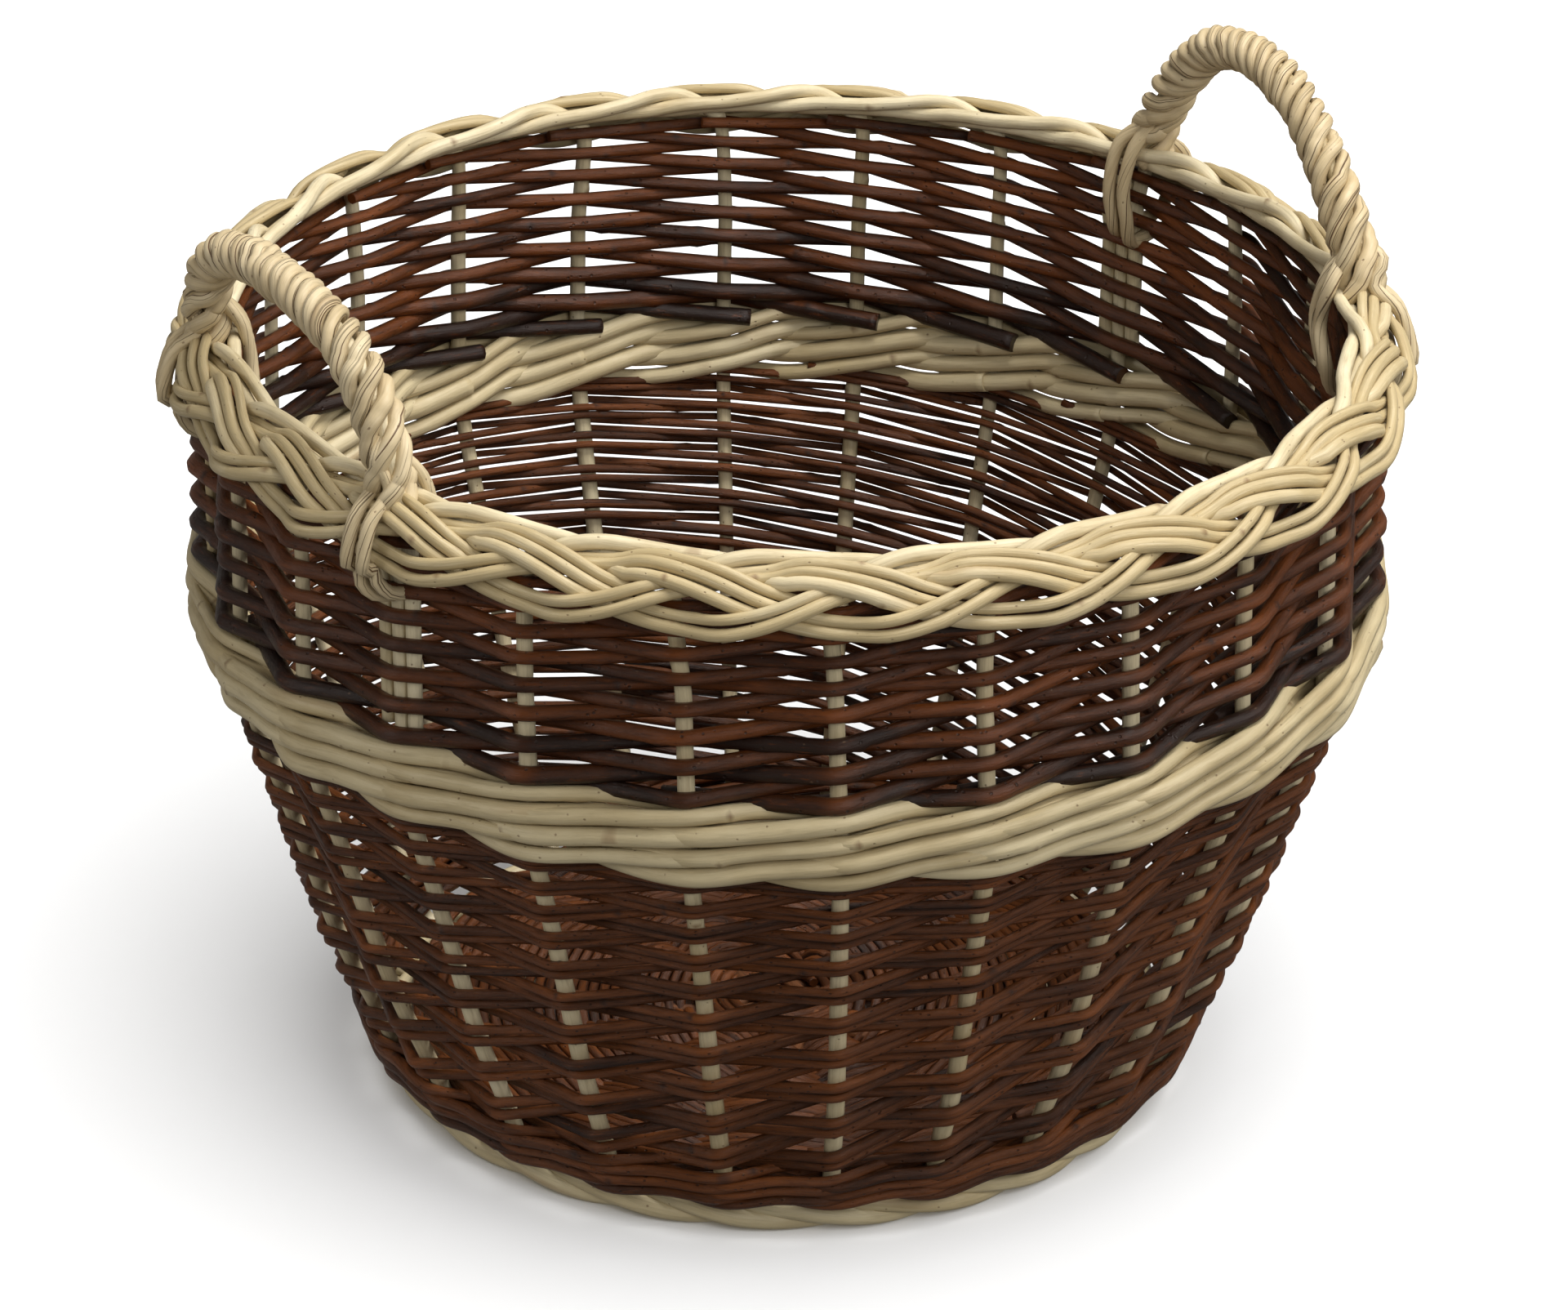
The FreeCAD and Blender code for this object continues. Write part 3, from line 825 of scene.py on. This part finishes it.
def stick_path(side, reach, middle, way):
    """Return the line of a base stick: straight through the cross, then fanned out as a spoke.

    side is its place in its group of three, and way is 1 for the upper half of a split stick,
    -1 for the lower half and 0 for a whole one.
    """
    offset = STICK_SPACING * side
    fan = 2 * BAY * side
    half = ((14 * MM, 6.4), (34 * MM, 3.0), (90 * MM, 1.6), (reach, 1.6))
    points = []
    for end, stops in ((-1, half[::-1]), (1, half)):
        for far, apart in stops:
            spoke = (far * end * math.cos(fan), far * math.sin(fan))
            across = spoke if far > SLATH_REACH else (far * end, offset)
            points.append((*across, middle + way * apart * MM))
    return smooth_path(points)


def turned(path):
    """Return a path turned by a quarter of a turn."""
    return path[:, [1, 0, 2]] * (-1, 1, 1)


def base(materials):
    """Make the crossed base sticks and the pairing woven round their ends."""
    low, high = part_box("base_weave")
    middle = (low.z + high.z) / 2
    base_sticks(materials["base"], middle)
    bundle = Bundle(7)
    pairing(bundle, middle, 19 * MM, 39 * MM, 4, 2.2)
    pairing(bundle, middle, 41 * MM, high.x + 9 * MM, STAKES // 2, 1.15)
    bundle.build("base_weave_rods", materials["brown"], "brown_willow", "base_weave")


def pairing(bundle, middle, start, end, spokes, hold):
    """Add two strands in a spiral, one over and one under each spoke, crossing between.

    The first rounds bind the four arms of the cross, and later ones go round all the spokes.
    hold is how wide the strands stay apart at each spoke. The last rounds climb to the upsett.
    """
    travel = np.arange(0, (end - start) / PAIRING_STEP * spokes, spokes / 96)
    radius = start + travel / spokes * PAIRING_STEP
    climb = np.clip((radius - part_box("base_weave")[1].x) / (9 * MM), 0, 1) * 5.5 * MM
    for side in (0, 1):
        lift = np.clip(np.cos(math.pi * (travel + side)) * hold, -1, 1) * 6.0 * MM
        out = radius + np.sin(math.pi * (travel + side)) * 0.9 * MM
        path = round_point(out, travel * FULL_TURN / spokes, middle + lift + climb)
        bundle.add(path, (2.2 * MM, 2.35 * MM))


# ---------------------------------------------------------------------------------------------
# Handles

# The arch of a handle from a foot to near its top: how wide it is there, as a share of its half
# width at the foot, and how high, as a share of its rise.
ARCHES = {
    "left": [(1.0, 0.0), (0.98, 0.3), (0.78, 0.76), (0.38, 1.0)],
    "right": [(1.0, 0.0), (0.9, 0.24), (0.64, 0.62), (0.3, 0.98)],
}
ROPE_RADIUS = 10 * MM
HANDLE_HALF = TOP_RADIUS * math.sin(1.5 * BAY)
SHORT_HALF = 0.87


def spline(points, count):
    """Return an even B-spline with its ends at the first and last point."""
    points = np.asarray(points, float)
    whole = np.vstack([2 * points[0] - points[1], points, 2 * points[-1] - points[-2]])
    curve = []
    for a, b, c, d in zip(whole, whole[1:], whole[2:], whole[3:]):
        t = np.linspace(0, 1, 24, endpoint=False)[:, None]
        curve.append(((1 - t) ** 3 * a + (3 * t**3 - 6 * t**2 + 4) * b
                      + (-3 * t**3 + 3 * t**2 + 3 * t + 1) * c + t**3 * d) / 6)
    curve = np.vstack([*curve, points[-1:]])
    along = lengths_along(curve)
    even = np.linspace(0, along[-1], count)
    return np.stack([np.interp(even, along, curve[:, axis]) for axis in range(3)], -1)


def arch_line(side, drop=0.0):
    """Return the centre line of a handle, with its feet let down by drop.

    One half of each handle is narrower than the other.
    """
    low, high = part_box(f"{side}_handle_rope")
    way = 1 if side == "right" else -1
    top = high.x - ROPE_RADIUS if side == "right" else low.x + ROPE_RADIUS
    rise = high.z - ROPE_RADIUS - low.z
    points, below = [], []
    for end, share in ((1, SHORT_HALF), (-1, 1.0)):
        half = HANDLE_HALF * share * end * way
        foot = math.sqrt(TOP_RADIUS**2 - half**2) * way
        below.append((foot, half, low.z - drop))
        for across, up in ARCHES[side][::end]:
            points.append((foot + (top - foot) * up, half * across, low.z + rise * up))
    points = [below[0], *points, below[1]] if drop else points
    return spline(points, 260)


# The radius of a strand of the roping, evenly spread from one foot over the top to the other.
STRAND_RADII = np.array([4.0, 3.6, 2.95, 2.75, 2.95, 3.6, 4.0]) * MM
STRAND_TWIST = 60


def roping(side, material):
    """Twist four strands round the bow rods, tighter towards the top of the handle."""
    line = arch_line(side, 10 * MM)
    across, up = ring_frames(line)
    along = lengths_along(line)
    from_top = np.abs(2 * along / along[-1] - 1)
    lay = 29 * MM + 44 * MM * from_top**2
    wound = np.r_[0, np.cumsum(np.diff(along) / lay[1:])] * FULL_TURN
    bundle = Bundle(14)
    for strand in range(4):
        turn = wound + math.pi / 2 * strand + wander(len(line), 0.10, 0.02)
        reach = 7.1 * MM + wander(len(line), 0.4 * MM, 0.010)
        ring = across * np.cos(turn)[:, None] + up * np.sin(turn)[:, None]
        bundle.add(line + ring * reach[:, None], STRAND_RADII, twist=STRAND_TWIST)
    bundle.build(f"{side}_handle_roping", material, "handle_willow", f"{side}_handle_rope")


def bow(side, material):
    """Make the two rods at the core, which stand either side of a stake at each foot."""
    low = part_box(f"{side}_handle_bow")[0].z
    line = arch_line(side)
    middle = line.mean(0)
    away = line - middle
    away /= np.linalg.norm(away, axis=1)[:, None]
    bundle = Bundle(10)
    for outward in (-1, 1):
        arch = line + away * outward * 3.2 * MM
        feet = []
        for end in (0, -1):
            number = round(math.atan2(line[end][1], line[end][0]) / BAY - 0.5)
            heights = np.linspace(low, BORDER_LOW.z + 8 * MM, 5)
            stake = stake_point(np.full(5, number), heights)
            beside = np.cross(stake[0], (0, 0, 1))
            beside *= np.sign(beside.dot(away[end])) / np.linalg.norm(beside)
            feet.append(stake + beside * outward * (STAKE_RADIUS + 3.3 * MM))
        path = np.vstack([feet[0], arch[8:-8:9], feet[1][::-1]])
        bundle.add(smooth_path(path), 3.3 * MM)
    bundle.build(f"{side}_handle_bow_rods", material, "stake_willow", f"{side}_handle_bow")


# How far each lashing drifts round the basket on its way down the border, in stakes.
LASHING_DRIFTS = {
    ("left", "front"): 0.0,
    ("left", "back"): 0.08,
    ("right", "front"): -0.2,
    ("right", "back"): -0.07,
}


def lashings(side, material):
    """Loop two strands round the border at each foot of a handle, through the siding below it."""
    line = arch_line(side)
    for end in ("front", "back"):
        index, inner = (0, 22) if (line[0][1] < 0) == (end == "front") else (-1, -23)
        place = place_of(line[index])
        drift = LASHING_DRIFTS[side, end]
        bundle = Bundle(12)
        for shift, nest in ((-0.064, 2.5), (0.064, -0.5)):
            path = lashing_path(line[index], line[inner], place, drift, shift, nest)
            bundle.add(path, rng.normal(3.0, 0.1) * MM, twist=STRAND_TWIST)
        node = f"{side}_handle_lashing_{end}"
        bundle.build(f"{node}_strands", material, "handle_willow", node)


def lashing_path(foot, core, place, drift, shift, nest):
    """Return a loop that leaves the foot outside, goes under the border and comes up inside.

    foot and core are the points of the handle where it starts down and where its ends are
    hidden. shift is this strand's place beside its partner, in stakes, and nest is how much
    lower it passes under the border, in millimetres.
    """
    away = foot * (1, 1, 0) / np.hypot(*foot[:2])
    left = place + drift + shift
    outside = [
        core,
        foot + away * 8 * MM + (0, 0, 11 * MM),
        border_point(place + drift * 0.1 + shift, BORDER_WIDTH * 0.3, 7.6 * MM),
        border_point(place + drift * 0.5 + shift, BORDER_WIDTH * 0.62, 6.8 * MM),
        border_point(left, BORDER_WIDTH, 5.6 * MM),
    ]
    turn = [(0.0, 14, 8), (0.02, 13.5, 2 - nest), (0.07, 9.5, -3.5 - nest), (0.12, 3, -5 - nest),
            (0.14, -6, -7 - nest), (0.14, -12, -5 - nest)]
    under = [wall_place(left + right, out * MM, down * MM) for right, out, down in turn]
    inside = [
        wall_place(left + 0.13, -15.5 * MM, 4 * MM),
        wall_place(place + 0.08 + shift, -17 * MM, 20 * MM),
        border_point(place + 0.03 + shift, -2 * MM, 8.6 * MM),
    ]
    return smooth_path(np.vstack([outside, under, inside, [core - (0, 0, 3 * MM)]]))


# ---------------------------------------------------------------------------------------------
# Camera, floor and light

VIEW_DISTANCE = 3.12
VIEW_AZIMUTH = math.radians(-30.3)
VIEW_ELEVATION = math.radians(26.87)
VIEW_ROLL = math.radians(1.175)
VIEW_TARGET = Vector((0, 0, 0.1884))
SENSOR_WIDTH = 36.0
FOCAL_LENGTH = 164.05


def camera():
    """Place the camera where the picture was taken from."""
    way = Vector((math.sin(VIEW_AZIMUTH) * math.cos(VIEW_ELEVATION),
                  -math.cos(VIEW_AZIMUTH) * math.cos(VIEW_ELEVATION),
                  math.sin(VIEW_ELEVATION)))
    level = Vector((0, 0, 1)).cross(way).normalized()
    upright = way.cross(level)
    right = level * math.cos(VIEW_ROLL) + upright * math.sin(VIEW_ROLL)
    up = upright * math.cos(VIEW_ROLL) - level * math.sin(VIEW_ROLL)
    data = bpy.data.cameras.new("camera")
    data.sensor_width = SENSOR_WIDTH
    data.lens = FOCAL_LENGTH
    data.clip_end = 50
    view = bpy.data.objects.new("camera", data)
    turn = Matrix((right, up, way)).transposed().to_4x4()
    view.matrix_world = Matrix.Translation(VIEW_TARGET + way * VIEW_DISTANCE) @ turn
    bpy.context.scene.collection.objects.link(view)
    bpy.context.scene.camera = view


def area_light(name, right, front, height, size, power, basket_only):
    """Place a round soft light by how far it is to the picture's right and to its front."""
    toward = Vector((math.sin(VIEW_AZIMUTH), -math.cos(VIEW_AZIMUTH), 0))
    sideways = Vector((math.cos(VIEW_AZIMUTH), math.sin(VIEW_AZIMUTH), 0))
    data = bpy.data.lights.new(name, "AREA")
    data.shape = "DISK"
    data.size = size
    data.energy = power
    data.color = (1.0, 0.985, 0.96)
    light = bpy.data.objects.new(name, data)
    light.location = sideways * right + toward * front + Vector((0, 0, height))
    light.rotation_mode = "QUATERNION"
    light.rotation_quaternion = (light.location - VIEW_TARGET).to_track_quat("Z", "Y")
    light.light_linking.receiver_collection = basket_only
    bpy.context.scene.collection.objects.link(light)


def make_floor():
    """Make the pale floor, and keep its glow off the basket."""
    mesh = bpy.data.meshes.new("floor")
    half = 20
    corners = [(-half, -half, 0), (half, -half, 0), (half, half, 0), (-half, half, 0)]
    mesh.from_pydata(corners, [], [(0, 1, 2, 3)])
    floor = bpy.data.objects.new("floor", mesh)
    material = bpy.data.materials.new("floor")
    material.use_nodes = True
    shader = material.node_tree.nodes["Principled BSDF"]
    shader.inputs["Base Color"].default_value = (0.86, 0.86, 0.86, 1)
    shader.inputs["Roughness"].default_value = 0.9
    mesh.materials.append(material)
    floor.visible_diffuse = False
    floor.visible_glossy = False
    bpy.context.scene.collection.objects.link(floor)
    return floor


def surroundings():
    """Make dim warm surroundings, and keep the colours as they are."""
    world = bpy.data.worlds.new("surroundings")
    world.use_nodes = True
    background = world.node_tree.nodes["Background"]
    background.inputs["Color"].default_value = (1.0, 0.97, 0.92, 1)
    background.inputs["Strength"].default_value = 0.2
    bpy.context.scene.world = world
    bpy.context.scene.view_settings.view_transform = "Standard"


def basket_lights(floor):
    """Light all but the floor, mostly from above and from the picture's right."""
    basket_only = bpy.data.collections.new("all_but_floor")
    basket_only.objects.link(floor)
    basket_only.collection_objects[0].light_linking.link_state = "EXCLUDE"
    area_light("overhead", 0.7, 0.0, 2.4, 1.8, 66, basket_only)
    area_light("side", 2.2, 0.9, 1.6, 0.9, 19, basket_only)
    area_light("front", 0.9, 2.6, 1.7, 1.2, 22, basket_only)
    area_light("fill", -2.4, 0.9, 1.2, 1.0, 13, basket_only)


def floor_light(floor):
    """Whiten the floor with a wide light of its own, which casts the soft shadow."""
    floor_only = bpy.data.collections.new("floor_only")
    floor_only.objects.link(floor)
    data = bpy.data.lights.new("floor_light", "SUN")
    data.energy = 5.1
    data.angle = 1.7
    light = bpy.data.objects.new("floor_light", data)
    light.rotation_euler = (math.radians(14), math.radians(16), VIEW_AZIMUTH)
    light.light_linking.receiver_collection = floor_only
    bpy.context.scene.collection.objects.link(light)


def main():
    """Make the basket and its studio."""
    materials = make_materials()
    upper_siding(materials["dark"])
    lower_siding(materials["brown"])
    foot_ring(materials["white"])
    upsett(materials["brown"])
    middle_wale(materials["white"])
    stakes(materials["stake"])
    base(materials)
    for side in ("left", "right"):
        bow(side, materials["stake"])
        roping(side, materials["handle"])
        lashings(side, materials["handle"])
    camera()
    floor = make_floor()
    surroundings()
    basket_lights(floor)
    floor_light(floor)


main()
